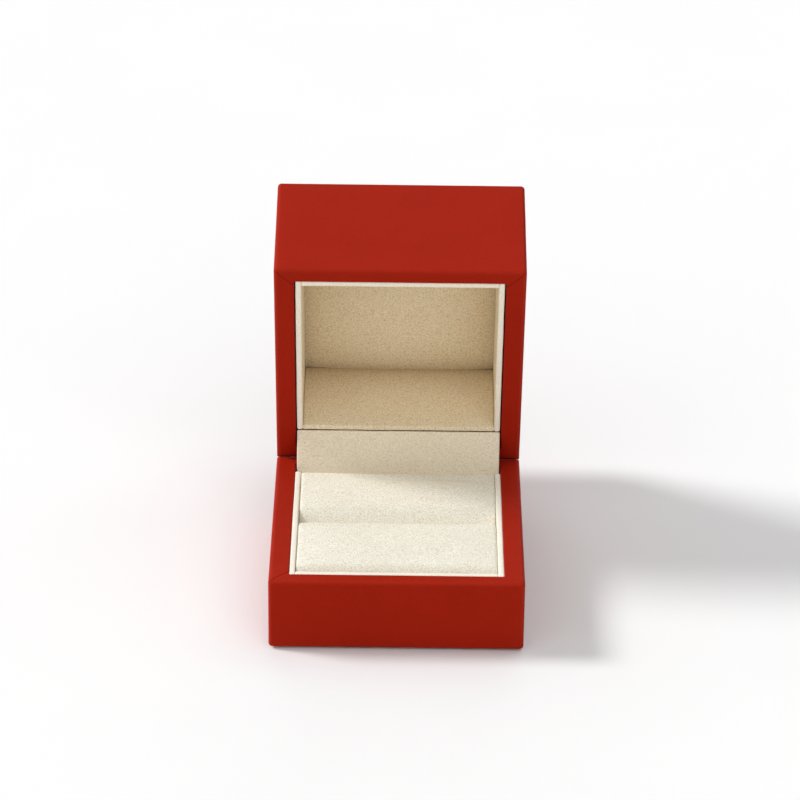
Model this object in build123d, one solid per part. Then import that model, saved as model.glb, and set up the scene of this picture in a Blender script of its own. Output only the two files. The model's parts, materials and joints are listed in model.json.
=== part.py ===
from build123d import *
import os
from math import asin, atan2, cos, degrees, hypot, radians, sin

# A hinged gift box for one finger ring. Two wooden half boxes are wrapped in leatherette and
# joined at the back by a steel snap hinge. The lower half holds two soft pads with a slot
# between them for the ring; the upper half is the lid, lined with suede-covered card.
#
# Frame: millimetres, +Z up, front of the box towards -Y, origin in the middle of the base's
# underside. The lid stands open at open_angle, resting against the bevels along the back.

# ---------------------------------------------------------------- driving dimensions
width = 60.0
depth = 62.0
base_height = 18.6  # table to parting plane
lid_height = 33.0  # parting plane to roof
open_angle = 75.2  # lid angle from shut, in degrees

side_wall = 4.8  # finished walls, wrap on both faces included
front_wall = 3.6
rear_wall = 5.0
wrap = 0.5  # leatherette with its glue
floor_board = 3.0
roof_board = 3.2
parting_gap = 0.2  # between the two rims when shut
corner_round = 1.4  # upright edges
end_round = 1.3  # edges of the roof and of the underside
rim_round = 0.9  # outer edge of each rim

bottom_sheet = 0.5
sheet_inset = 2.0
sheet_round = 1.5
turn_in = 6.5  # how far the wrap folds down inside each half
turn_under = 8.0  # how far it folds under the base

# hinge
pin_inset = 1.5  # from the rear face to the pin's axis
pin_radius = 0.6
running_clearance = 0.05
leaf = 0.5
leaf_leg = 10.0
knuckle = 6.2
cam_knuckle = 7.6
knuckle_gap = 0.2
barrel_clearance = 0.35
cam_flat = 0.15  # how much each flat takes off the cam
bevel_clearance = 0.05
screw_shank = 0.6
screw_head = 1.1
screw_head_height = 0.5
screw_slot = (1.3, 0.3, 0.25)  # each arm of the cross in a head: length, width, depth
head_round = 0.6  # share of a head's height that is domed
screw_length = 3.0
screw_side = 11.0
screw_depths = (3.6, 8.0)
hole_clearance = 0.03

# snap spring, which bears on the cam knuckle
spring = 0.4
spring_width = 6.4
spring_leg = 9.4
spring_bend = 0.3  # outer radius of its bend
spring_clearance = 0.15  # from its tip to the round of the cam
rivet_shank = 0.45
rivet_head = 0.8
rivet_head_height = 0.35
rivet_depths = (4.0, 7.4)

# hinge cover, a stiff suede-covered strip that leans back as the lid opens
cover = 0.8
cover_standoff = 2.4  # its crease, in front of the rear wall
cover_drop = 3.0  # its crease, below the parting plane
cover_length = 11.5
cover_clearance = 0.3  # behind the open lid's rear lining
cover_bead = 0.5
bead_clearance = 0.1
anchor = 2.0

# linings and pads
card = 1.4  # suede-covered card
side_play = 0.3  # beside the lid's lining cards
card_drop = 0.1  # card edges below the rim
cover_bay = 3.65  # space for the hinge cover between the rear wall and the rear pad
lid_bay = 5.5  # the same in the lid, where the cover needs more room
ceiling_depth = 22.0  # parting plane to the lid's ceiling
cushion_board = 1.2
slot_width = 4.2
pad_play = 0.15
pad_top_round = 2.0
pad_edge_round = 0.8

# ---------------------------------------------------------------- worked out from those
pin_y = depth / 2 - pin_inset
rim = parting_gap / 2
inner_x = width / 2 - side_wall
inner_front = -depth / 2 + front_wall
inner_rear = depth / 2 - rear_wall
base_shell_height = base_height - bottom_sheet
bevel_angle = open_angle / 2
knuckle_radius = pin_radius + running_clearance + leaf
groove_radius = knuckle_radius + barrel_clearance
seat = rim + max(wrap, leaf)  # where the leaves lie on the boards
board_face = inner_rear + wrap  # inner face of the rear boards
leaf_face = board_face - leaf
hinge_length = cam_knuckle + 4 * knuckle + 4 * knuckle_gap
spring_angle = degrees(atan2(seat - spring / 2, knuckle_radius + spring_clearance))
lid_lining_x = inner_x - side_play
lid_lining_rear = inner_rear - lid_bay
pad_x = inner_x - card - pad_play
pad_front = inner_front + card + pad_play
pad_rear = inner_rear - cover_bay
lining_top = rim + card_drop
crease_y = inner_rear - cover_standoff


def open_lean():
    """The cover's lean from upright, in degrees, that puts it cover_clearance behind the open lid."""
    reach, drop = pin_y - lid_lining_rear, lining_top
    turn = radians(open_angle)
    corner_y = pin_y - crease_y - reach * cos(turn) + drop * sin(turn)
    corner_z = cover_drop + reach * sin(turn) + drop * cos(turn)
    apart = (cover / 2 + cover_clearance) / hypot(corner_y, corner_z)
    return degrees(atan2(corner_y, corner_z) + asin(apart))


cover_lean = open_lean()
clear = 100.0  # longer than the box, for cutting tools


def block(x0, x1, y0, y1, z0, z1):
    """Box between two corners."""
    middle = ((x0 + x1) / 2, (y0 + y1) / 2, (z0 + z1) / 2)
    return Pos(*middle) * Box(x1 - x0, y1 - y0, z1 - z0)


def rod(radius, x0, x1, y, z):
    """Cylinder along X."""
    return Pos((x0 + x1) / 2, y, z) * Rot(0, 90, 0) * Cylinder(radius, x1 - x0)


def stud(radius, y0, y1, x, z):
    """Cylinder along Y."""
    return Pos(x, (y0 + y1) / 2, z) * Rot(90, 0, 0) * Cylinder(radius, y1 - y0)


# ---------------------------------------------------------------- the two halves
# Both halves are drawn in one half frame: Z is 0 at the parting plane and grows into the half.


def shell(height, inset):
    """Outer form of a half, moved inwards by inset: rounded box with a bevel along its back."""
    x, y = width / 2 - inset, depth / 2 - inset
    form = block(-x, x, -y, y, rim + inset, height - inset)
    form = fillet(form.edges().filter_by(Axis.Z), corner_round - inset)
    form = fillet(form.faces().sort_by(Axis.Z)[-1].edges(), end_round - inset)
    form = fillet(form.faces().sort_by(Axis.Z)[0].edges(), rim_round - inset)
    wedge = Pos(0, clear / 2, -clear / 2 + bevel_clearance + inset) * Box(2 * clear, clear, clear)
    return form - Pos(0, pin_y, rim) * Rot(bevel_angle, 0, 0) * wedge


def opening(grow, z0, z1):
    """The space between the finished walls, grown sideways."""
    return block(-inner_x - grow, inner_x + grow, inner_front - grow, inner_rear + grow, z0, z1)


def hinge_pocket():
    """What the walls lose to the barrel and to a leaf."""
    half = hinge_length / 2 + knuckle_gap
    barrel = rod(groove_radius, -half - knuckle_gap, half + knuckle_gap, pin_y, 0)
    flat = block(-half, half, inner_rear - leaf, pin_y, -seat, seat)
    leg = block(-half, half, inner_rear - leaf, board_face, -seat, max(leaf_leg, turn_in) + knuckle_gap)
    return barrel + flat + leg


def fixing_holes(places, radius, depths):
    """Holes through the spring, a leaf and a rear board for screws or rivets."""
    ends = (leaf_face - spring, board_face + screw_length)
    return [stud(radius + hole_clearance, *ends, x, z) for x in places for z in depths]


def boards(height, end_name, end_board, riveted):
    """The wooden core of a half: four walls and the end board that they are glued to."""
    core = shell(height, wrap)
    wall_end = height - wrap - end_board
    front_face = inner_front - wrap
    side_face = inner_x + wrap
    rear = core & block(-width, width, board_face, depth, rim, wall_end)
    rear -= hinge_pocket()
    rear -= fixing_holes((-screw_side, screw_side), screw_shank, screw_depths)
    if riveted:
        rear -= fixing_holes((0,), rivet_shank, rivet_depths)
    return {
        "front_board": core & block(-width, width, -depth, front_face, rim, wall_end),
        "rear_board": rear,
        "left_board": core & block(-width, -side_face, front_face, board_face, rim, wall_end),
        "right_board": core & block(side_face, width, front_face, board_face, rim, wall_end),
        end_name: core & block(-width, width, -depth, depth, wall_end, height),
    }


def wrapping(height, window):
    """The leatherette skin: outside, over the rim, and down the inside by turn_in."""
    skin = shell(height, 0) - shell(height, wrap)
    skin -= opening(0, 0, rim + 2 * wrap)
    skin += opening(wrap, rim, turn_in) - opening(0, 0, turn_in)
    if window:
        x, y = width / 2 - turn_under, depth / 2 - turn_under
        skin -= block(-x, x, -y, y, height - 2 * wrap, height + wrap)
    return skin - hinge_pocket()


# ---------------------------------------------------------------- hinge


def knuckle_spans():
    """The five stretches of the barrel along X; the lid has the first, third and fifth."""
    spans = []
    x = -hinge_length / 2
    for length in (knuckle, knuckle, cam_knuckle, knuckle, knuckle):
        spans.append((x, x + length))
        x += length + knuckle_gap
    return spans


def hinge_leaf(spans, notch, cam_flats):
    """A leaf bent over the rim and down the inside of the rear board, with its knuckles.

    notch makes room for the spring, and cam_flats are the angles of the flats on the middle knuckle.
    """
    half = hinge_length / 2
    plate_end = pin_y - knuckle_radius - knuckle_gap
    plate = block(-half, half, leaf_face, plate_end, seat - leaf, seat)
    plate += block(-half, half, leaf_face, board_face, seat - leaf, leaf_leg)
    if notch:
        plate -= block(-notch, notch, leaf_face + leaf, plate_end, 0, seat)
        plate -= block(-notch, notch, leaf_face, leaf_face + leaf, 0, seat + spring)
    for x0, x1 in spans:
        barrel = rod(knuckle_radius, x0, x1, pin_y, 0)
        if x0 < 0 < x1:
            barrel -= [cam_flat_tool(x0, x1, angle) for angle in cam_flats]
        plate += barrel
        plate += block(x0, x1, plate_end - leaf, pin_y, seat - leaf, seat)
    plate -= rod(pin_radius + running_clearance, -half, half, pin_y, 0)
    plate -= fixing_holes((-screw_side, screw_side), screw_shank, screw_depths)
    if notch:
        plate -= fixing_holes((0,), rivet_shank, rivet_depths)
    return plate


def cam_flat_tool(x0, x1, angle):
    """Cuts a flat on the cam; its outward normal makes this angle with +Y, in the half frame."""
    tool = block(x0, x1, knuckle_radius - cam_flat, 2 * knuckle_radius, -knuckle_radius, knuckle_radius)
    return Pos(0, pin_y, 0) * Rot(angle, 0, 0) * tool


def fixings(places, shank, head, head_height, seat_face, length, depths, cross=()):
    """Screws or rivets with low domed heads, as separate solids; screws have a cross cut in the head."""
    made = []
    for x in places:
        for z in depths:
            dome = stud(head, seat_face - head_height, seat_face, x, z)
            front_edge = dome.edges().filter_by(GeomType.CIRCLE).sort_by(Axis.Y)[0]
            dome = fillet(front_edge, head_height * head_round)
            fixing = dome + stud(shank, seat_face, seat_face + length, x, z)
            if cross:
                arm, arm_width, cut_depth = cross
                face = seat_face - head_height + cut_depth / 2
                fixing -= Pos(x, face, z) * Box(arm, cut_depth, arm_width)
                fixing -= Pos(x, face, z) * Box(arm_width, cut_depth, arm)
            made.append(fixing)
    return Compound(children=made)


def hinge_pin():
    """Pin with peened ends, clear of the outer knuckles."""
    half = hinge_length / 2 + running_clearance
    peen = (pin_radius + knuckle_radius) / 2
    pin = rod(pin_radius, -half, half, pin_y, 0)
    for side in (-1, 1):
        ends = sorted((side * half, side * (half + knuckle_gap)))
        pin += rod(peen, *ends, pin_y, 0)
    return pin


def snap_spring():
    """Flat spring riveted to the base leaf, its arm lying over the rim to the cam."""
    half = spring_width / 2
    front = leaf_face - spring
    arm_end = pin_y - knuckle_radius - spring_clearance
    strip = block(-half, half, front, leaf_face, seat - spring, spring_leg)
    strip += block(-half, half, front, arm_end, seat - spring, seat)
    corner = strip.edges().filter_by(Axis.X).group_by(Axis.Z)[0].sort_by(Axis.Y)[0]
    strip = fillet(corner, spring_bend)
    return strip - fixing_holes((0,), rivet_shank, rivet_depths)


# ---------------------------------------------------------------- linings, pads and cover


def lining_cards(outer, rear, end):
    """Suede-covered cards along the front and the sides of a half, from its rim to end."""
    return {
        "lining_left": block(-outer, -outer + card, inner_front, rear, lining_top, end),
        "lining_right": block(outer - card, outer, inner_front, rear, lining_top, end),
        "lining_front": block(card - outer, outer - card, inner_front, inner_front + card, lining_top, end),
    }


def ring_pads(end):
    """The two pads either side of the ring slot, in the half frame."""
    middle = (pad_front + pad_rear) / 2
    pads = []
    for y0, y1 in ((pad_front, middle - slot_width / 2), (middle + slot_width / 2, pad_rear)):
        pad = block(-pad_x, pad_x, y0, y1, lining_top, end)
        pad = fillet(pad.edges().filter_by(Axis.Z), pad_edge_round)
        lip = pad.faces().sort_by(Axis.Z)[0].edges().filter_by(Axis.X)
        inner_lip = lip.sort_by(lambda e: abs(e.center().Y - middle))[0]
        pads.append(fillet(inner_lip, pad_top_round))
    return pads


def hinge_cover():
    """The cover upright, as with the lid shut: bead at its crease, rounded tip. Z is up here."""
    y, z = crease_y, base_height - cover_drop
    half = inner_x - side_play
    strip = block(-half, half, y - cover / 2, y + cover / 2, z, z + cover_length)
    strip += rod(cover / 2, -half, half, y, z + cover_length)
    return strip + rod(cover_bead, -half, half, y, z)


def cover_anchor():
    """Strip that the cover's crease sits on, standing on the floor board. Z is up here."""
    y, z = crease_y, base_height - cover_drop
    half = inner_x - side_play
    floor = bottom_sheet + wrap + floor_board
    strip = block(-half, half, y - anchor / 2, y + anchor / 2, floor, z - bead_clearance)
    return strip - rod(cover_bead + bead_clearance, -half, half, y, z)


# ---------------------------------------------------------------- placing


def in_base(shape):
    """From the half frame into the base."""
    return Pos(0, 0, base_height) * mirror(shape, about=Plane.XY)


def in_lid(shape):
    """From the half frame into the open lid."""
    hinge_axis = Axis((0, pin_y, base_height), (1, 0, 0))
    return (Pos(0, 0, base_height) * shape).rotate(hinge_axis, -open_angle)


def leaned(shape):
    """Leans the cover back from upright about its crease."""
    crease = Axis((0, crease_y, base_height - cover_drop), (1, 0, 0))
    return shape.rotate(crease, -cover_lean)


def leaf_screws():
    """Four screws that hold a leaf to its rear board."""
    places = (-screw_side, screw_side)
    head = (screw_head, screw_head_height, leaf_face)
    return fixings(places, screw_shank, *head, screw_length, screw_depths, screw_slot)


def spring_rivets():
    """Two rivets that hold the spring to the base leaf, their shanks ending in the board."""
    grip = spring + leaf + wrap
    head = (rivet_head, rivet_head_height, leaf_face - spring)
    return fixings((0,), rivet_shank, *head, grip, rivet_depths)


def base_parts():
    floor = base_shell_height - wrap - floor_board
    top_of_board = floor - cushion_board
    front_pad, rear_pad = ring_pads(top_of_board)
    walls = boards(base_shell_height, "floor_board", floor_board, True)
    made = {f"base_{name}": shape for name, shape in walls.items()}
    made |= {f"base_{name}": shape for name, shape in lining_cards(inner_x, pad_rear, floor).items()}
    made |= {
        "base_wrap": wrapping(base_shell_height, True),
        "cushion_board": block(-pad_x, pad_x, pad_front, pad_rear, top_of_board, floor),
        "front_ring_pad": front_pad,
        "rear_ring_pad": rear_pad,
        "hinge_base_leaf": hinge_leaf(knuckle_spans()[1::2], spring_width / 2 + knuckle_gap, ()),
        "hinge_pin": hinge_pin(),
        "hinge_snap_spring": snap_spring(),
        "snap_spring_rivets": spring_rivets(),
        "base_leaf_screws": leaf_screws(),
    }
    made = {name: in_base(shape) for name, shape in made.items()}
    x, y = width / 2 - sheet_inset, depth / 2 - sheet_inset
    sheet = block(-x, x, -y, y, 0, bottom_sheet)
    made["base_bottom_sheet"] = fillet(sheet.edges().filter_by(Axis.Z), sheet_round)
    made["cover_anchor"] = cover_anchor()
    return made


def lid_parts():
    roof = lid_height - wrap - roof_board
    x, rear = lid_lining_x, lid_lining_rear
    panel_top = ceiling_depth + card
    foam_front, foam_rear = inner_front + wrap, inner_rear - wrap
    shut = 180 + spring_angle
    walls = boards(lid_height, "roof_board", roof_board, False)
    made = {f"lid_{name}": shape for name, shape in walls.items()}
    made |= {f"lid_{name}": shape for name, shape in lining_cards(x, rear, ceiling_depth).items()}
    made |= {
        "lid_lining_rear": block(-x + card, x - card, rear - card, rear, lining_top, ceiling_depth),
        "lid_wrap": wrapping(lid_height, False),
        "lid_ceiling_panel": block(-x, x, inner_front, inner_rear, ceiling_depth, panel_top),
        "lid_ceiling_foam": block(-x, x, foam_front, foam_rear, panel_top, roof),
        "lid_rear_spacer": block(-x, x, rear, board_face, leaf_leg + screw_head, ceiling_depth),
        "hinge_lid_leaf": hinge_leaf(knuckle_spans()[0::2], 0, (shut, shut + open_angle)),
        "lid_leaf_screws": leaf_screws(),
    }
    return {name: in_lid(shape) for name, shape in made.items()}


os.makedirs("parts", exist_ok=True)
nodes = base_parts() | lid_parts()
nodes["hinge_cover"] = leaned(hinge_cover())
for name, shape in nodes.items():
    export_step(shape, f"parts/{name}.step")
print(f"{len(nodes)} nodes, cover leans {cover_lean:.3f} degrees")
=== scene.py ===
"""Looks of the ring box: leatherette skins, suede linings, foam ring pads, hinge metal, light and camera."""

import json
from math import cos, pi, radians, sin, tan

import bmesh
import bpy
import numpy as np
from mathutils import Matrix, Vector, noise


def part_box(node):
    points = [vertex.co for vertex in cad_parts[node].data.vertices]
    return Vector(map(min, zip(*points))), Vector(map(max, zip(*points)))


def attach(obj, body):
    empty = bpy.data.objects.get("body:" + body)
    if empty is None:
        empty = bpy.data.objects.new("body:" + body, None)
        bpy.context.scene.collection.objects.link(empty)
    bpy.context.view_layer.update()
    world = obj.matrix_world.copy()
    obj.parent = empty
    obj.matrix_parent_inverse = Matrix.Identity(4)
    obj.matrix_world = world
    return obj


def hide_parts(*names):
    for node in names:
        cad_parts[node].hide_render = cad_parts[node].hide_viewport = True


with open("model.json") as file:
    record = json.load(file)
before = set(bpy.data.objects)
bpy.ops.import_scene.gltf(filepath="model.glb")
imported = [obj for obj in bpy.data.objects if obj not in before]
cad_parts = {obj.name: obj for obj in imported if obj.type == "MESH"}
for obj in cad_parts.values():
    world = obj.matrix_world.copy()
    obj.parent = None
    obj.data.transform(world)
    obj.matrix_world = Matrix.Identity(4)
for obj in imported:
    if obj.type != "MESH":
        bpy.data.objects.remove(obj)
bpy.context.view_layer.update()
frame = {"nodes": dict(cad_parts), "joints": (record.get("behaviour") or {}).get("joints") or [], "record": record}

MM = 0.001
nodes = frame["nodes"]
joints = {joint["name"]: joint for joint in frame["joints"]}
coupling = frame["record"]["behaviour"]["couplings"][0]

# ---------------------------------------------------------------- places, from the frame
PIN_Y, PIN_Z = joints["lid_hinge"]["pos_m"][1:]
CREASE_Y, CREASE_Z = joints["cover_fold"]["pos_m"][1:]
OPEN = radians(joints["lid_hinge"]["range_deg"][1])


def turn_x(y, z, angle):
    """Turns about an axis along X through (y, z)."""
    there = Matrix.Translation((0, y, z))
    return there @ Matrix.Rotation(angle, 4, "X") @ there.inverted()


LID_OPENS = turn_x(PIN_Y, PIN_Z, -OPEN)
COVER_LEANS = turn_x(CREASE_Y, CREASE_Z, -OPEN * coupling["ratio"])


def shut_box(node, moved=LID_OPENS):
    """Corners of a CAD node's box with the lid shut, or with another move undone."""
    back = moved.inverted()
    points = np.array([back @ v.co for v in nodes[node].data.vertices])
    return Vector(points.min(0)), Vector(points.max(0))


BASE_LOW, BASE_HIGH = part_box("base_wrap")
LID_LOW, LID_HIGH = shut_box("lid_wrap")
LEAF_LOW, LEAF_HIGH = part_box("hinge_base_leaf")
SIDE_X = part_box("base_lining_right")[1].x
OPENING_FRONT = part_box("base_lining_front")[0].y
OPENING_REAR = LEAF_LOW.y
RIM = BASE_HIGH.z  # top of the base's rim
LID_RIM = LID_LOW.z

# ---------------------------------------------------------------- sizes of the finish
CORNER_ROUND = 1.0 * MM
END_ROUND = 0.8 * MM
RIM_ROUND = 0.9 * MM
FOLD_ROUND = 0.35 * MM  # where the skin turns down into the opening
OPENING_ROUND = 0.4 * MM
SKIN = 0.4 * MM
TURN_IN = 6.5 * MM
TURN_UNDER = 8.0 * MM
SEAM_HALF_WIDTH = 0.16 * MM
SEAM_DEPTH = 0.17 * MM
SKIN_WAVE = 0.02 * MM
BEVEL_GAP = 0.02 * MM
BEVEL_BLEND = 0.25 * MM


# ---------------------------------------------------------------- mesh helpers
def make_object(name, data):
    made = bpy.data.objects.new(name, data)
    bpy.context.scene.collection.objects.link(made)
    return made


def from_bmesh(name, bm, sharp_angle=40):
    """Turns bm into an object, smooth but for edges sharper than sharp_angle degrees."""
    mesh = bpy.data.meshes.new(name)
    bm.to_mesh(mesh)
    bm.free()
    smooth(mesh, sharp_angle)
    return make_object(name, mesh)


def smooth(mesh, sharp_angle=40):
    mesh.polygons.foreach_set("use_smooth", [True] * len(mesh.polygons))
    mesh.set_sharp_from_angle(angle=radians(sharp_angle))


def apply_modifiers(obj):
    """Replaces obj's mesh by what its modifiers make of it."""
    bpy.context.view_layer.update()
    made = bpy.data.meshes.new_from_object(obj.evaluated_get(bpy.context.evaluated_depsgraph_get()))
    obj.modifiers.clear()
    obj.data = made


def read_points(mesh):
    points = np.zeros(len(mesh.vertices) * 3)
    mesh.vertices.foreach_get("co", points)
    return points.reshape(-1, 3)


def write_points(mesh, points):
    mesh.vertices.foreach_set("co", np.ascontiguousarray(points, float).ravel())
    mesh.update()


def smoothstep(x):
    x = np.clip(x, 0, 1)
    return x * x * (3 - 2 * x)


def soft_max(a, b, width):
    """The larger of a and b, blended over width where they are nearly equal."""
    share = max(width - abs(a - b), 0) / width
    return max(a, b) + share * share * width / 4


def wobble(point, size, seed):
    """Smooth noise from -1 to 1 that varies over size."""
    return noise.noise(Vector(point) / size + Vector((seed, 2 * seed, 3 * seed)))


def ruffle(mesh, size, height, seed):
    """Moves each vertex along its normal by smooth noise."""
    points, normals = read_points(mesh), np.zeros(len(mesh.vertices) * 3)
    mesh.vertex_normals.foreach_get("vector", normals)
    waves = np.array([wobble(point, size, seed) for point in points])
    write_points(mesh, points + normals.reshape(-1, 3) * (height * waves)[:, None])


def give(obj, body, material, *replaced, slot):
    """Puts a finished piece on its body, in place of its CAD nodes."""
    obj.data.materials.clear()
    obj.data.materials.append(material)
    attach(obj, body)
    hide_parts(*replaced)


# ---------------------------------------------------------------- materials
class Shader:
    """Short names for building one node material."""

    def __init__(self, name, roughness, specular=0.3, metallic=0.0):
        self.material = bpy.data.materials.new(name)
        self.material.use_nodes = True
        self.tree = self.material.node_tree
        self.principled = self.tree.nodes["Principled BSDF"]
        self.principled.inputs["Roughness"].default_value = roughness
        self.principled.inputs["Specular IOR Level"].default_value = specular
        self.principled.inputs["Metallic"].default_value = metallic
        self.where = self.tree.nodes.new("ShaderNodeTexCoord").outputs["Object"]

    def link(self, a, b):
        self.tree.links.new(a, b)

    def stretched(self, scale):
        """The object's own coordinates, scaled by axis."""
        node = self.tree.nodes.new("ShaderNodeMapping")
        node.inputs["Scale"].default_value = scale
        self.link(self.where, node.inputs["Vector"])
        return node.outputs["Vector"]

    def noise(self, size, detail=2.0, rough=0.5, where=None):
        """Noise whose features are about size metres across."""
        node = self.tree.nodes.new("ShaderNodeTexNoise")
        node.inputs["Scale"].default_value = 1 / size
        node.inputs["Detail"].default_value = detail
        node.inputs["Roughness"].default_value = rough
        self.link(where or self.where, node.inputs["Vector"])
        return node.outputs["Fac"]

    def cells(self, size, feature="F1"):
        """Distance from the middle of the nearest of cells about size metres across."""
        node = self.tree.nodes.new("ShaderNodeTexVoronoi")
        node.feature = feature
        node.inputs["Scale"].default_value = 1 / size
        self.link(self.where, node.inputs["Vector"])
        return node.outputs["Distance"]

    def ramp(self, value, *stops):
        """Colour by value: stops are (position, colour)."""
        node = self.tree.nodes.new("ShaderNodeValToRGB")
        ramp = node.color_ramp
        while len(ramp.elements) < len(stops):
            ramp.elements.new(0.5)
        for element, (position, colour) in zip(ramp.elements, stops):
            element.position = position
            element.color = (*colour, 1)
        self.link(value, node.inputs["Fac"])
        return node.outputs["Color"]

    def span(self, value, low, high, to_low, to_high):
        """Maps the range low to high onto to_low to to_high, and no further."""
        node = self.tree.nodes.new("ShaderNodeMapRange")
        for key, number in zip(("From Min", "From Max", "To Min", "To Max"), (low, high, to_low, to_high)):
            node.inputs[key].default_value = number
        self.link(value, node.inputs["Value"])
        return node.outputs["Result"]

    def mix(self, factor, a, b, blend="MIX"):
        """Mixes two colours; each is a socket or three numbers, and factor a socket or a number."""
        node = self.tree.nodes.new("ShaderNodeMix")
        node.data_type, node.blend_type = "RGBA", blend
        for key, value in (("Factor", factor), ("A", a), ("B", b)):
            socket = next(s for s in node.inputs if s.name == key and s.enabled)
            if isinstance(value, bpy.types.NodeSocket):
                self.link(value, socket)
            elif key == "Factor":
                socket.default_value = value
            else:
                socket.default_value = (*value, 1)
        return next(s for s in node.outputs if s.enabled)

    def attribute(self, name):
        """A value stored on the mesh, or 0 where the mesh has none."""
        node = self.tree.nodes.new("ShaderNodeAttribute")
        node.attribute_name = name
        return node.outputs["Fac"]

    def bump(self, height, distance, strength=1.0, under=None):
        node = self.tree.nodes.new("ShaderNodeBump")
        node.inputs["Distance"].default_value = distance
        node.inputs["Strength"].default_value = strength
        self.link(height, node.inputs["Height"])
        if under:
            self.link(under, node.inputs["Normal"])
        return node.outputs["Normal"]

    def finish(self, colour, normal=None, roughness=None):
        self.link(colour, self.principled.inputs["Base Color"])
        if normal:
            self.link(normal, self.principled.inputs["Normal"])
        if roughness:
            self.link(roughness, self.principled.inputs["Roughness"])
        return self.material


def leatherette():
    """Red leatherette: fine pebbled grain, a little colour drift, paler along the folds."""
    pebble = 0.42 * MM
    s = Shader("leatherette", roughness=0.5, specular=0.05)
    s.principled.inputs["Specular Tint"].default_value = (1.0, 0.25, 0.2, 1)
    s.principled.inputs["Sheen Weight"].default_value = 0.10
    s.principled.inputs["Sheen Roughness"].default_value = 0.3
    s.principled.inputs["Sheen Tint"].default_value = (1.0, 0.25, 0.35, 1)
    deep, pale = (0.343, 0.0150, 0.0047), (0.361, 0.0160, 0.0051)
    drift = s.ramp(s.noise(14 * MM, 3), (0.35, deep), (0.65, pale))
    pores = s.ramp(s.cells(pebble), (0.0, (0.80, 0.76, 0.76)), (0.30, (1, 1, 1)))
    colour = s.mix(0.8, drift, pores, "MULTIPLY")
    paler_folds = s.mix(s.span(s.attribute("fold"), 0.0, 1.0, 0.0, 0.22), colour, (0.56, 0.050, 0.030))
    grain = s.bump(s.cells(pebble, "SMOOTH_F1"), 0.06 * MM, 0.7)
    grain = s.bump(s.noise(0.16 * MM, 2), 0.02 * MM, 0.6, grain)
    grain = s.bump(s.noise(5 * MM, 2), 0.05 * MM, 0.25, grain)
    return s.finish(paler_folds, grain, s.span(s.noise(3 * MM, 3), 0.3, 0.7, 0.48, 0.56))


def suede(name, pale, deep, speck, rim):
    """Short-napped suede: mottled pile with shaded fibres, specks and a soft sheen.

    The attribute rim turns the pile paler, a painted highlight on edges that catch the light, and the shade
    attribute turns it darker, painted shade in corners and creases: from 0 to 1 over a corner's reach,
    and from 1 to 2 in its crease.
    """
    shaded = tuple(share * c for share, c in zip((0.74, 0.63, 0.50), deep))
    painted_shade_tint, painted_crease_shade_tint = (0.66, 0.58, 0.48), (0.34, 0.27, 0.20)
    s = Shader(name, roughness=0.92, specular=0.10)
    s.principled.inputs["Sheen Weight"].default_value = 0.22
    s.principled.inputs["Sheen Roughness"].default_value = 0.45
    s.principled.inputs["Sheen Tint"].default_value = (1.0, 0.95, 0.85, 1)
    nap = s.ramp(s.noise(9 * MM, 4, 0.6), (0.36, deep), (0.62, pale))
    fibres = s.noise(0.29 * MM, 2, 0.6)
    pile = s.mix(s.span(fibres, 0.38, 0.60, 0.68, 0.0), nap, shaded)
    specks = s.span(s.noise(0.40 * MM, 1.0, 0.4), 0.60, 0.65, 0.0, 0.5)
    pile = s.mix(specks, pile, speck)
    # Painted highlight: the pile paler along edges that catch the light
    pile = s.mix(s.span(s.attribute("rim"), 0.0, 1.0, 0.0, 0.6), pile, rim)
    # Painted shade: the pile darker over a corner's reach, and darker still in its crease
    nook = s.attribute("nook")
    pile = s.mix(s.span(nook, 0.0, 1.0, 0.0, 1.0), pile, painted_shade_tint, "MULTIPLY")
    pile = s.mix(s.span(nook, 1.0, 2.0, 0.0, 1.0), pile, painted_crease_shade_tint, "MULTIPLY")
    normal = s.bump(fibres, 0.10 * MM, 0.6)
    normal = s.bump(s.noise(2.6 * MM, 3), 0.10 * MM, 0.2, normal)
    return s.finish(pile, normal)


def fibreboard(name, pale, dark):
    """Pressed board: fine felted fibres."""
    s = Shader(name, roughness=0.85, specular=0.2)
    fibres = s.noise(0.5 * MM, 5, 0.7, s.stretched((0.35, 1, 1)))
    colour = s.ramp(fibres, (0.35, dark), (0.65, pale))
    return s.finish(colour, s.bump(s.noise(0.2 * MM, 3), 0.05 * MM, 0.5))


def backing_paper():
    """Black paper with an embossed linen grain."""
    s = Shader("backing_paper", roughness=0.62, specular=0.3)
    thread = s.noise(0.35 * MM, 2, 0.5, s.stretched((0.25, 1, 1)))
    across = s.noise(0.35 * MM, 2, 0.5, s.stretched((1, 0.25, 1)))
    colour = s.ramp(thread, (0.3, (0.018, 0.017, 0.017)), (0.7, (0.042, 0.040, 0.039)))
    return s.finish(colour, s.bump(across, 0.03 * MM, 0.5, s.bump(thread, 0.03 * MM, 0.5)))


def foam():
    """Open-celled foam."""
    s = Shader("foam", roughness=0.95, specular=0.1)
    cells = s.cells(0.6 * MM)
    colour = s.ramp(cells, (0.1, (0.42, 0.41, 0.36)), (0.6, (0.72, 0.71, 0.65)))
    return s.finish(colour, s.bump(cells, 0.15 * MM, 0.8))


def metal(name, pale, dark, roughness):
    """Rolled or turned metal: fine streaks along X, and a slightly uneven polish."""
    s = Shader(name, roughness, specular=0.5, metallic=1.0)
    streaks = s.noise(0.12 * MM, 3, 0.6, s.stretched((0.06, 1, 1)))
    colour = s.ramp(streaks, (0.3, dark), (0.7, pale))
    gloss = s.span(s.noise(1.5 * MM, 3), 0.3, 0.7, roughness * 0.8, roughness * 1.25)
    return s.finish(colour, s.bump(streaks, 0.006 * MM, 0.5), gloss)


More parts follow.
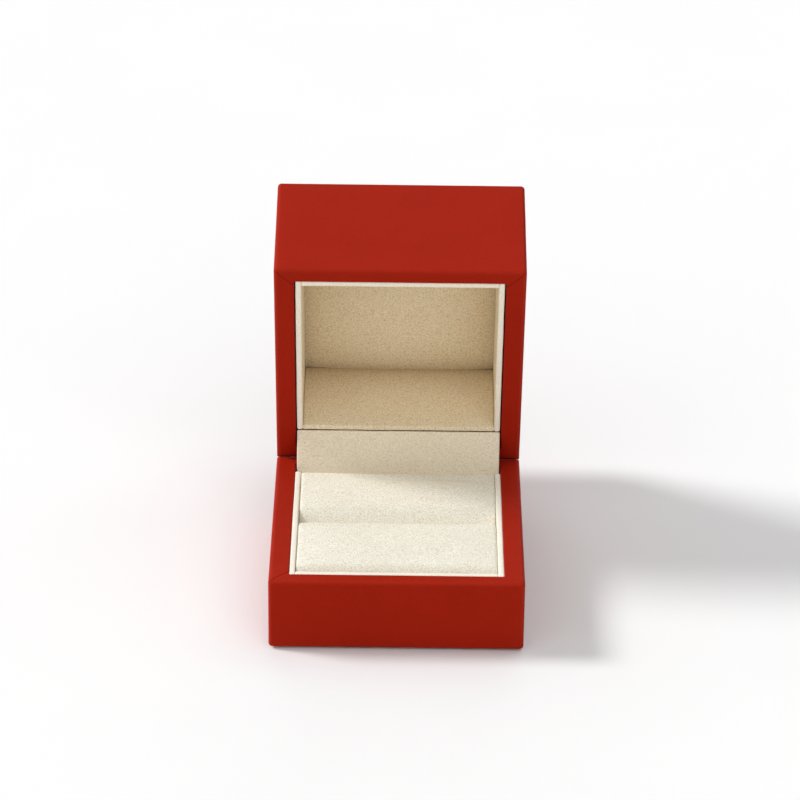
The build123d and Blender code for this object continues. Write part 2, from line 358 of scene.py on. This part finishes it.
def table_top():
    """Matt white board, hardly mottled."""
    s = Shader("table_top", roughness=0.9, specular=0.05)
    colour = s.ramp(s.noise(60 * MM, 2), (0.3, (0.895, 0.895, 0.895)), (0.7, (0.905, 0.905, 0.905)))
    return s.finish(colour)


RED = leatherette()
PAD_SUEDE = suede(
    "pad_suede",
    pale=(0.96, 0.975, 0.89),
    deep=(0.94, 0.945, 0.855),
    speck=(0.62, 0.53, 0.38),
    rim=(0.95, 0.91, 0.80),
)
# The same suede, tinted tanner for the lid's cavity and the cover as painted shade standing in for light bounced
# round the cavity; its rim colour is a painted highlight on the edges
CAVITY_SHADE_SUEDE = suede(
    "card_suede",
    pale=(0.98, 0.88, 0.655),
    deep=(0.97, 0.85, 0.625),
    speck=(0.58, 0.44, 0.25),
    rim=(0.97, 0.93, 0.84),
)
BOARD = fibreboard("fibreboard", (0.46, 0.32, 0.19), (0.30, 0.20, 0.11))
GREY_BOARD = fibreboard("grey_board", (0.44, 0.43, 0.40), (0.30, 0.29, 0.27))
PAPER = backing_paper()
FOAM = foam()
STEEL = metal("plated_steel", (0.66, 0.64, 0.60), (0.59, 0.57, 0.54), 0.26)
SPRING_STEEL = metal("spring_steel", (0.30, 0.34, 0.42), (0.16, 0.18, 0.22), 0.32)
BRASS = metal("brass", (0.83, 0.64, 0.30), (0.66, 0.47, 0.19), 0.28)


# ---------------------------------------------------------------- leatherette skins
# A skin is drawn in a half frame: X and Y as in the shared frame, Z the depth into the half from its rim.
# Each ring has the same number of points, so that neighbouring rings join in quads.
SIDE_CELLS = 26
CORNER_CELLS = 8
CURVE_STEPS = 6
RIM_CELLS = 5
WALL_CELLS = 8


def station_ring(x, y0, y1, radius):
    """Points round a rounded rectangle, as many for every size, anticlockwise seen from +Z."""
    centres = (
        (radius - x, y0 + radius, pi),
        (x - radius, y0 + radius, 1.5 * pi),
        (x - radius, y1 - radius, 0),
        (radius - x, y1 - radius, 0.5 * pi),
    )
    points = []
    for k, (cx, cy, start) in enumerate(centres):
        for i in range(CORNER_CELLS + 1):
            angle = start + pi / 2 * i / CORNER_CELLS
            points.append(Vector((cx + radius * cos(angle), cy + radius * sin(angle))))
        nx, ny, start = centres[(k + 1) % 4]
        last, following = points[-1], Vector((nx + radius * cos(start), ny + radius * sin(start)))
        points += [last.lerp(following, i / SIDE_CELLS) for i in range(1, SIDE_CELLS)]
    return points


def skin_rings(height, closed):
    """The skin's rings, from inside the opening over the rim and down the outside."""

    def outer(inset, depth):
        x, y = BASE_HIGH.x - inset, BASE_HIGH.y - inset
        return (x, -y, y, max(CORNER_ROUND - inset, OPENING_ROUND), depth)

    def inner(grow, depth):
        return (SIDE_X + grow, OPENING_FRONT - grow, OPENING_REAR + grow, OPENING_ROUND + grow, depth)

    quarter = [pi / 2 * i / CURVE_STEPS for i in range(CURVE_STEPS + 1)]
    rings = [inner(0, d) for d in (TURN_IN, TURN_IN / 2, FOLD_ROUND * 2)]
    rings += [inner(FOLD_ROUND * (1 - cos(a)), FOLD_ROUND * (1 - sin(a))) for a in quarter]
    inside, outside = inner(FOLD_ROUND * 1.3, 0), outer(RIM_ROUND * 1.2, 0)
    for i in range(RIM_CELLS + 1):
        rings.append(tuple(a + (b - a) * i / RIM_CELLS for a, b in zip(inside, outside)))
    rings += [outer(RIM_ROUND * (1 - sin(a)), RIM_ROUND * (1 - cos(a))) for a in quarter]
    top, bottom = RIM_ROUND * 1.3, height - END_ROUND * 1.2
    rings += [outer(0, top + (bottom - top) * i / WALL_CELLS) for i in range(WALL_CELLS + 1)]
    rings += [outer(END_ROUND * (1 - cos(a)), height - END_ROUND * (1 - sin(a))) for a in quarter]
    insets = (1.4, 4, 8, 14, 20) if closed else (1.4, 4, TURN_UNDER / MM)
    return rings + [outer(inset * MM, height) for inset in insets]


def bevel_back(bm):
    """Cuts the rear rim back along the bevel that the two halves meet on when open."""
    slope = tan(OPEN / 2)
    for v in bm.verts:
        least = slope * (v.co.y - PIN_Y) + BEVEL_GAP / cos(OPEN / 2)
        if v.co.y > PIN_Y - 1 * MM:
            v.co.z = soft_max(v.co.z, least, BEVEL_BLEND)


def on_corner_rim(point, side):
    """Whether a point lies on the flat of the rim near a front corner."""
    beside = side * point.x > SIDE_X + FOLD_ROUND / 2 or point.y < OPENING_FRONT - FOLD_ROUND / 2
    inside = side * point.x < BASE_HIGH.x - RIM_ROUND / 3 and point.y > RIM_ROUND / 3 - BASE_HIGH.y
    near = side * point.x > SIDE_X - 3 * MM and point.y < OPENING_FRONT + 4 * MM
    return abs(point.z) < RIM_ROUND * 0.6 and beside and inside and near


def mitre_seams(bm):
    """Grooves at 45 degrees from each front corner of the rim, where the skin is folded and joined."""
    for side in (-1, 1):
        corner = Vector((side * BASE_HIGH.x, -BASE_HIGH.y, 0))
        normal = Vector((side, 1, 0)).normalized()
        for shift in (-SEAM_HALF_WIDTH, 0, SEAM_HALF_WIDTH):
            faces = [f for f in bm.faces if on_corner_rim(f.calc_center_median(), side)]
            parts = faces + list({e for f in faces for e in f.edges})
            parts += list({v for f in faces for v in f.verts})
            place = corner + normal * shift
            bmesh.ops.bisect_plane(bm, geom=parts, plane_co=place, plane_no=normal, dist=1e-7)
        for v in bm.verts:
            off = abs((v.co - corner).dot(normal))
            if off < SEAM_HALF_WIDTH / 4 and on_corner_rim(v.co, side):
                v.co.z += SEAM_DEPTH


def skin_mesh(name, height, closed):
    """A half's skin as one sheet, closed over the roof of the lid and open under the base."""
    rings = skin_rings(height, closed)
    bm = bmesh.new()
    rows = [[bm.verts.new((*p, depth)) for p in station_ring(*outline)] for *outline, depth in rings]
    count = len(rows[0])
    for inner_row, outer_row in zip(rows, rows[1:]):
        for i in range(count):
            j = (i + 1) % count
            bm.faces.new((inner_row[i], inner_row[j], outer_row[j], outer_row[i]))
    if closed:
        bm.faces.new(rows[-1])
    bevel_back(bm)
    mitre_seams(bm)
    bmesh.ops.remove_doubles(bm, verts=bm.verts, dist=0.002 * MM)
    bm.normal_update()
    return from_bmesh(name, bm)


def block_mesh(name, low, high):
    """A plain block, to cut with."""
    bm = bmesh.new()
    bmesh.ops.create_cube(bm, size=1)
    middle, size = (low + high) / 2, high - low
    bmesh.ops.transform(bm, matrix=Matrix.Translation(middle) @ Matrix.Diagonal((*size, 1)), verts=bm.verts)
    return from_bmesh(name, bm)


def rod_mesh(name, radius, half_length, y, z):
    """A rod along X."""
    bm = bmesh.new()
    bmesh.ops.create_cone(
        bm, cap_ends=True, segments=48, radius1=radius, radius2=radius, depth=2 * half_length
    )
    place = Matrix.Translation((0, y, z)) @ Matrix.Rotation(pi / 2, 4, "Y")
    bmesh.ops.transform(bm, matrix=place, verts=bm.verts)
    return from_bmesh(name, bm)


def cut_hinge_pocket(skin, rim_gap):
    """Opens the skin for the barrel and for both parts of a leaf: the flat one and the bent-down leg."""
    end_play, play, barrel_play, leg_play = 0.2 * MM, 0.1 * MM, 0.35 * MM, 0.3 * MM
    half = LEAF_HIGH.x + end_play
    barrel = LEAF_HIGH.y - PIN_Y + barrel_play
    leg = RIM - LEAF_LOW.z + leg_play
    rear = OPENING_REAR - play
    flat_box = Vector((-half, rear, -play)), Vector((half, PIN_Y, 6 * play))
    leg_box = Vector((-half, rear, -2 * play)), Vector((half, OPENING_REAR + SKIN + play, leg))
    cutters = [
        block_mesh("cut_flat", *flat_box),
        block_mesh("cut_leg", *leg_box),
        rod_mesh("cut_barrel", barrel, half + play, PIN_Y, -rim_gap),
    ]
    for cutter in cutters:
        modifier = skin.modifiers.new(cutter.name, "BOOLEAN")
        modifier.operation, modifier.solver, modifier.object = "DIFFERENCE", "EXACT", cutter
        apply_modifiers(skin)
        bpy.data.objects.remove(cutter)


def mark(obj, name, values):
    """Stores a value for each vertex, for the materials."""
    obj.data.attributes.new(name, "FLOAT", "POINT").data.foreach_set("value", values)


def mark_folds(skin, height, to_half):
    """Stores how near each point is to an outer fold, for the paler line there."""
    reach = 1.1 * MM
    values = []
    for v in skin.data.vertices:
        p = to_half @ v.co
        faces = (BASE_HIGH.x - abs(p.x), BASE_HIGH.y - abs(p.y), abs(p.z), abs(height - p.z))
        values.append(1 - min(sorted(faces)[1] / reach, 1))
    mark(skin, "fold", values)


def leather_skin(name, node, body, height, closed, placed, seed):
    """A half's finished skin; placed takes its half frame to its place in the shared frame."""
    skin = skin_mesh(name, height, closed)
    ruffle(skin.data, size=8 * MM, height=SKIN_WAVE, seed=seed)
    thick = skin.modifiers.new("thick", "SOLIDIFY")
    thick.thickness, thick.offset, thick.use_even_offset = SKIN, -1, True
    apply_modifiers(skin)
    cut_hinge_pocket(skin, PIN_Z - RIM)
    skin.data.transform(placed)
    if placed.determinant() < 0:
        skin.data.flip_normals()
    mark_folds(skin, height, placed.inverted())
    smooth(skin.data, sharp_angle=32)
    give(skin, body, RED, node, slot="leatherette")


# ---------------------------------------------------------------- suede cards, foam and pads
END_STEPS = 5
CARD_ROUND = 0.4 * MM
CARD_PROUD = 0.06 * MM  # how far a card's edge stands past its CAD solid at the rim
CEILING_GAP = 0.4 * MM  # between a lid lining and the ceiling panel
COVER_SHEET = 0.4 * MM  # half of the hinge cover's thickness
COVER_REACH = 0.3 * MM  # the nap stands past the strip's tip towards the lid's lining
COVER_BOW = 0.12 * MM
CEILING_CROWN = 1.3 * MM
CROWN_SPREAD = 1.07  # the crown ends inside the linings' faces

PAD_EDGE = 0.5 * MM
PAD_CROWN = 0.35 * MM
PAD_ROOM = (0.15 * MM, 0.08 * MM, 0)  # how far a pad may bulge towards its neighbours
PAD_RISE = 1 * MM  # how far its foam may rise over its CAD solid, where the shut lid leaves room
PAD_PROUD = 0.06 * MM  # how far its nap does so anyway; a third less where the shut lid's rear lining is
LIP_GAP = 0.12 * MM  # from a pad's lip to the middle of the slot
SLOT_Y = (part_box("front_ring_pad")[1].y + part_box("rear_ring_pad")[0].y) / 2
SLOT_END = 4.0 * MM  # how far from its ends the slot starts to close
SLOT_CLOSES = 0.3  # how much shallower it is at its very ends, as a share

# Each roll or sag of a pad's top: how far it reaches and how deep it goes, in mm
SLOT_ROLL = {1: (1.9, 0.3), -1: (7.0, 2.6)}  # of the front and the rear pad's lip
SLOT_SAG = (3.0, 0.3)  # of both lips at the slot's ends
FRONT_ROLL = (3.5, 0.8)  # of the front pad's front edge

# Painted shade stored for the suede, darkening it where shade falls: how far it reaches in mm, and its strength
SLOT_PAINTED_SHADE = (8, 0.32)
FRONT_PAINTED_SHADE = (4, 0.6)
LINING_PAINTED_SHADE = (5, 1.0)
CEILING_PAINTED_SHADE = (3.5, 0.75)
CEILING_SIDE_PAINTED_SHADE = (3, 0.4)

SIM_SCALE = 10  # Cloth is tuned for garments, so a pad is stuffed at ten times its size
SIM_FRAMES = 20
VOXEL = 0.5 * MM
EVENING_ROUNDS = 60


def spread(low, high, radius, cell):
    """Coordinates from low to high, close together over the rounded ends."""
    ends = [radius * (1 - cos(pi / 2 * i / END_STEPS)) for i in range(END_STEPS + 1)]
    inner_low, inner_high = low + radius, high - radius
    count = max(2, round((inner_high - inner_low) / cell))
    middle = [inner_low + (inner_high - inner_low) * i / count for i in range(1, count)]
    return [low + e for e in ends] + middle + [high - e for e in reversed(ends)]


def rounded_block(name, low, high, radius, cell=1.6 * MM):
    """A block with rounded edges, on a grid of cells fine enough to bend."""
    low, high = Vector(low), Vector(high)
    radius = min(radius, 0.49 * min(high - low))
    inner_low, inner_high = low + Vector((radius,) * 3), high - Vector((radius,) * 3)
    grids = [spread(low[k], high[k], radius, cell) for k in range(3)]
    bm = bmesh.new()
    found = {}

    def corner(point):
        core = Vector(min(max(point[k], inner_low[k]), inner_high[k]) for k in range(3))
        out = Vector(point) - core
        place = core + out.normalized() * radius
        key = tuple(round(c / (0.001 * MM)) for c in place)
        if key not in found:
            found[key] = bm.verts.new(place)
        return found[key]

    for axis in range(3):
        a, b = (axis + 1) % 3, (axis + 2) % 3
        for end, level in ((0, low[axis]), (1, high[axis])):
            for i in range(len(grids[a]) - 1):
                for j in range(len(grids[b]) - 1):
                    loop = []
                    for p, q in ((i, j), (i + 1, j), (i + 1, j + 1), (i, j + 1)):
                        point = [0.0, 0.0, 0.0]
                        point[axis], point[a], point[b] = level, grids[a][p], grids[b][q]
                        loop.append(corner(point))
                    if len(set(loop)) > 2:
                        loop = list(dict.fromkeys(loop))
                        bm.faces.new(loop if end else loop[::-1])
    return from_bmesh(name, bm, sharp_angle=60)


def suede_card(node, box, body, moved, material, seed, rim_side=1):
    """A card wrapped in suede: soft edges, not quite straight, its edge at the rim a little proud.

    The rim is at the box's upper side for rim_side 1, and at its lower side for -1.
    """
    low, high = box
    if rim_side > 0:
        high = high + Vector((0, 0, CARD_PROUD))
    else:
        low, high = low - Vector((0, 0, CARD_PROUD)), high - Vector((0, 0, CEILING_GAP))
    card = rounded_block(node + "_suede", low, high, radius=CARD_ROUND)
    points = read_points(card.data)
    from_rim = np.abs(points[:, 2] - (high.z if rim_side > 0 else low.z))
    # Painted shade on the rear lining towards the ceiling, darkest in the crease; a painted highlight along the
    # other cards' rim edges
    if node == "lid_lining_rear":
        from_ceiling = (high.z - points[:, 2]) / MM
        crease = smoothstep(1.5 - from_ceiling / 0.3)  # painted shade in the crease: dark for the first 0.15 mm, and gone by 0.45
        mark(card, "nook", fading(from_ceiling, LINING_PAINTED_SHADE) + crease)
    else:
        mark(card, "rim", 1 - smoothstep(from_rim / (2 * CARD_ROUND)))
    ruffle(card.data, size=5 * MM, height=0.07 * MM, seed=seed)
    card.data.transform(moved)
    give(card, body, material, node, slot="suede_card")


def fading(distance, nook):
    """A painted shade, fading exponentially with the distance in mm."""
    reach, strength = nook
    return strength * np.exp(-np.maximum(distance, 0) / reach)


def eased(distance, roll):
    """A roll, sag or painted shade that eases out to nothing at its reach; the distance is in mm."""
    reach, depth = roll
    return smoothstep(1 - distance / reach) * depth


def shaped_pad(name, low, high, slot_side):
    """A pad before stuffing: crowned, its lip rolled over into the slot at the end slot_side of Y."""
    pad = rounded_block(name, low, high, radius=PAD_EDGE, cell=0.9 * MM)
    points = read_points(pad.data)
    middle, half = (np.array(low) + np.array(high)) / 2, (np.array(high) - np.array(low)) / 2
    u, v, w = ((points - middle) / half).T
    top = smoothstep((w - 0.2) / 0.8)
    crown = (1 - u**4) * (1 - v**4)
    from_slot = (half[1] - slot_side * (points[:, 1] - middle[1])) / MM
    from_end = half[0] - np.abs(points[:, 0] - middle[0])
    at_end = smoothstep(1 - from_end / SLOT_END)
    roll = eased(from_slot, SLOT_ROLL[slot_side]) * (1 - SLOT_CLOSES * at_end)
    sag = eased(from_slot, SLOT_SAG) * at_end
    if slot_side > 0:
        from_front = (half[1] + points[:, 1] - middle[1]) / MM
        roll += eased(from_front, FRONT_ROLL)
    points[:, 2] += top * (PAD_CROWN * crown - (roll + sag) * MM)
    write_points(pad.data, points)
    return pad


def evened(mesh, values, rounds):
    """Averages a value of each vertex with its neighbours', rounds times."""
    ends = np.zeros(len(mesh.edges) * 2, int)
    mesh.edges.foreach_get("vertices", ends)
    a, b = ends.reshape(-1, 2).T
    shares = np.bincount(ends, minlength=len(values))[:, None] + 1.0
    for _ in range(rounds):
        total = values.copy()
        np.add.at(total, a, values[b])
        np.add.at(total, b, values[a])
        values = total / shares
    return values


def stuff(pad, held_below, pressure, limit):
    """Stuffs the pad: cloth under inner pressure, held by its underside, moved no more than limit."""
    remesh = pad.modifiers.new("even", "REMESH")
    pad.data.transform(Matrix.Scale(SIM_SCALE, 4))
    remesh.mode, remesh.voxel_size = "VOXEL", VOXEL * SIM_SCALE
    apply_modifiers(pad)
    before = read_points(pad.data)
    held = [int(i) for i in np.flatnonzero(before[:, 2] < held_below * SIM_SCALE)]
    pad.vertex_groups.new(name="held").add(held, 1.0, "REPLACE")
    cloth = pad.modifiers.new("stuffing", "CLOTH")
    cloth.settings.quality = 6
    cloth.settings.mass = 0.3
    cloth.settings.tension_stiffness = cloth.settings.compression_stiffness = 22
    cloth.settings.shear_stiffness = 12
    cloth.settings.bending_stiffness = 1.5
    cloth.settings.vertex_group_mass = "held"
    cloth.settings.use_pressure = True
    cloth.settings.uniform_pressure_force = pressure
    cloth.settings.effector_weights.gravity = 0
    for step in range(1, SIM_FRAMES + 1):
        bpy.context.scene.frame_set(step)
    apply_modifiers(pad)
    bpy.context.scene.frame_set(1)
    move = evened(pad.data, read_points(pad.data) - before, EVENING_ROUNDS)
    # Its ends aren't pulled in, so they stay against the linings
    move[:, 0] = np.where(move[:, 0] * before[:, 0] < 0, 0, move[:, 0])
    farthest = max(np.linalg.norm(move, axis=1).max(), 1e-9)
    write_points(pad.data, before + move * min(1, limit * SIM_SCALE / farthest))
    pad.data.transform(Matrix.Scale(1 / SIM_SCALE, 4))


def ring_pad(node, low, high, slot_side, seed):
    """A finished pad whose slot is at the end slot_side of Y."""
    beside = Vector((PAD_ROOM[0], 0, 0))
    pad = shaped_pad(node + "_cushion", low - beside, high + beside, slot_side)
    stuff(pad, held_below=low.z + 2 * MM, pressure=4.0, limit=0.35 * MM)
    finer = pad.modifiers.new("finer", "SUBSURF")
    finer.levels = finer.render_levels = 1
    apply_modifiers(pad)
    ruffle(pad.data, size=6 * MM, height=0.07 * MM, seed=seed)
    ruffle(pad.data, size=2 * MM, height=0.025 * MM, seed=seed + 1)
    points = read_points(pad.data)
    room_low, room_high = low - Vector(PAD_ROOM), high + Vector(PAD_ROOM)
    room_low.z, room_high.z = low.z, high.z + PAD_RISE
    under_lid = smoothstep(1 - (shut_box("lid_lining_rear")[0].y - points[:, 1]) / (4 * MM))
    top = high.z + PAD_PROUD * (1 - under_lid / 3) + (1 - under_lid) * PAD_RISE
    points[:, 2] = np.minimum(points[:, 2], top)
    write_points(pad.data, np.clip(points, np.array(room_low), np.array(room_high)))
    # Painted shade along the front pad's front edge and along the rear pad's lip at the slot
    mark(pad, "nook", eased((points[:, 1] - low.y) / MM, FRONT_PAINTED_SHADE if slot_side > 0 else SLOT_PAINTED_SHADE))
    smooth(pad.data, sharp_angle=60)
    give(pad, "base", PAD_SUEDE, node, slot="suede_pad")


def ring_pads():
    """The two pads, whose lips meet over the slot that the foam yields at."""
    low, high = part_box("front_ring_pad")
    high.y = SLOT_Y - LIP_GAP
    ring_pad("front_ring_pad", low, high, slot_side=1, seed=11)
    low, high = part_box("rear_ring_pad")
    low.y = SLOT_Y + LIP_GAP
    ring_pad("rear_ring_pad", low, high, slot_side=-1, seed=17)


def hinge_cover():
    """The stiff strip in suede: rounded edges, slightly bowed, with the bead of its crease."""
    low, high = shut_box("hinge_cover", COVER_LEANS)
    bead = (high.y - low.y) / 2
    low.y, high.y = CREASE_Y - COVER_SHEET, CREASE_Y + COVER_SHEET
    low.z, high.z = CREASE_Z, high.z + COVER_REACH
    cover = rounded_block("hinge_cover_suede", low, high, radius=0.38 * MM, cell=1.2 * MM)
    points = read_points(cover.data)
    up = (points[:, 2] - CREASE_Z) / (high.z - CREASE_Z)
    points[:, 1] += COVER_BOW * np.sin(pi * np.clip(up, 0, 1)) * np.cos(points[:, 0] / high.x * pi / 2)
    write_points(cover.data, points)
    ruffle(cover.data, size=6 * MM, height=0.06 * MM, seed=23)
    roll = rod_mesh("bead", bead, high.x, CREASE_Y, CREASE_Z)
    join = cover.modifiers.new("bead", "BOOLEAN")
    join.operation, join.solver, join.object = "UNION", "EXACT", roll
    apply_modifiers(cover)
    bpy.data.objects.remove(roll)
    # Painted light: the whole cover turned half way paler
    mark(cover, "rim", [0.5] * len(cover.data.vertices))
    cover.data.transform(COVER_LEANS)
    smooth(cover.data, sharp_angle=50)
    give(cover, "cover", CAVITY_SHADE_SUEDE, "hinge_cover", slot="suede_card")


def ceiling():
    """The lid's ceiling panel, slightly cushioned by the foam over it, and that foam."""
    low, high = shut_box("lid_ceiling_panel")
    panel = rounded_block("lid_ceiling_suede", low, high, radius=0.5 * MM, cell=1.4 * MM)
    points = read_points(panel.data)
    u = CROWN_SPREAD * points[:, 0] / high.x
    v = CROWN_SPREAD * (points[:, 1] * 2 - low.y - high.y) / (high.y - low.y)
    under = points[:, 2] < (low.z + high.z) / 2
    points[:, 2] -= under * CEILING_CROWN * np.clip(1 - u**6, 0, 1) * np.clip(1 - v**4, 0, 1)
    write_points(panel.data, points)
    lining_low, lining_high = shut_box("lid_lining_left")
    inner_side = SIDE_X - (lining_high.x - lining_low.x)
    # Painted shade: darker towards the rear lining and the side linings
    from_rear = (shut_box("lid_lining_rear")[0].y - points[:, 1]) / MM
    from_side = (inner_side - np.abs(points[:, 0])) / MM
    mark(panel, "nook", np.maximum(fading(from_rear, CEILING_PAINTED_SHADE), fading(from_side, CEILING_SIDE_PAINTED_SHADE)))
    ruffle(panel.data, size=7 * MM, height=0.06 * MM, seed=31)
    panel.data.transform(LID_OPENS)
    give(panel, "lid", CAVITY_SHADE_SUEDE, "lid_ceiling_panel", slot="suede_card")
    low, high = shut_box("lid_ceiling_foam")
    block = rounded_block("lid_foam_block", low, high, radius=0.4 * MM, cell=2 * MM)
    ruffle(block.data, size=3 * MM, height=0.05 * MM, seed=37)
    block.data.transform(LID_OPENS)
    give(block, "lid", FOAM, "lid_ceiling_foam", slot="foam")


def linings():
    """The lining cards of the base and the lid."""
    for seed, part in enumerate(("left", "right", "front"), 41):
        node = f"base_lining_{part}"
        suede_card(node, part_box(node), "base", Matrix.Identity(4), PAD_SUEDE, seed)
    for seed, part in enumerate(("left", "right", "front", "rear"), 51):
        node = f"lid_lining_{part}"
        suede_card(node, shut_box(node), "lid", LID_OPENS, CAVITY_SHADE_SUEDE, seed, rim_side=-1)


# ---------------------------------------------------------------- CAD nodes that keep their shape
def finish_cad_nodes():
    """Gives every CAD node that still shows its own material; the boards are the rest."""
    finishes = {
        "hinge_base_leaf": STEEL,
        "hinge_lid_leaf": STEEL,
        "hinge_pin": STEEL,
        "hinge_snap_spring": SPRING_STEEL,
        "snap_spring_rivets": BRASS,
        "base_leaf_screws": BRASS,
        "lid_leaf_screws": BRASS,
        "base_bottom_sheet": PAPER,
        "cushion_board": GREY_BOARD,
        "cover_anchor": GREY_BOARD,
        "lid_rear_spacer": GREY_BOARD,
    }
    for name, node in nodes.items():
        if not node.hide_render:
            node.data.materials.clear()
            node.data.materials.append(finishes.get(name, BOARD))


# ---------------------------------------------------------------- stage
def floor():
    """A white floor, far larger than the camera sees."""
    bm = bmesh.new()
    bmesh.ops.create_grid(bm, x_segments=4, y_segments=4, size=2.5)
    made = from_bmesh("floor", bm)
    made.data.materials.append(table_top())


# Each light in degrees: bearing and height of where it comes from, its width, and then its strength.
# Bearing 0 is +X, and 90 is +Y.
SUNS = {
    "key": (169, 41, 15, 2.0),
    "left": (160, 15, 55, 0.75),
    "front_left": (228, 33, 50, 0.55),
    "front_right": (288, 42, 50, 0.86),
    "back": (90, 35, 50, 0.65),
    "right_top": (25, 62, 50, 0.60),
}


def lights():
    """A faint white sky, and suns from every side."""
    world = bpy.data.worlds.new("studio")
    world.use_nodes = True
    sky = world.node_tree.nodes["Background"]
    sky.inputs["Color"].default_value = (1, 1, 1, 1)
    sky.inputs["Strength"].default_value = 0.06
    bpy.context.scene.world = world
    for name, (bearing, height, width, strength) in SUNS.items():
        data = bpy.data.lights.new(name, "SUN")
        data.energy, data.angle = strength, radians(width)
        light = make_object(name, data)
        level = cos(radians(height))
        towards = Vector((level * cos(radians(bearing)), level * sin(radians(bearing)), sin(radians(height))))
        light.rotation_euler = towards.to_track_quat("Z", "Y").to_euler()


def camera():
    """Nearly square on, from 28 degrees above, through a long lens."""
    azimuth, elevation, roll = radians(-0.0297), radians(27.790), radians(0.688)
    distance = 0.86425
    back = Vector((sin(azimuth) * cos(elevation), -cos(azimuth) * cos(elevation), sin(elevation)))
    right = Vector((cos(azimuth), sin(azimuth), 0))
    up = back.cross(right)
    target = right * 0.281 * MM + Vector((0, 0, 50.297 * MM))
    data = bpy.data.cameras.new("camera")
    data.sensor_width, data.lens = 36, 164.56
    data.clip_start, data.clip_end = 0.05, 10
    made = make_object("camera", data)
    across, upright = cos(roll) * right + sin(roll) * up, cos(roll) * up - sin(roll) * right
    turn = Matrix((across, upright, back)).transposed().to_4x4()
    made.matrix_world = Matrix.Translation(target + back * distance) @ turn
    bpy.context.scene.camera = made


camera()
into_base = Matrix.Translation((0, 0, RIM)) @ Matrix.Diagonal((1, 1, -1, 1))
into_lid = LID_OPENS @ Matrix.Translation((0, 0, LID_RIM))
base_height, lid_height = RIM - BASE_LOW.z, LID_HIGH.z - LID_RIM
leather_skin("base_leatherette", "base_wrap", "base", base_height, closed=False, placed=into_base, seed=3)
leather_skin("lid_leatherette", "lid_wrap", "lid", lid_height, closed=True, placed=into_lid, seed=7)
linings()
ceiling()
hinge_cover()
ring_pads()
finish_cad_nodes()
floor()
lights()
bpy.context.scene.view_settings.view_transform = "Standard"
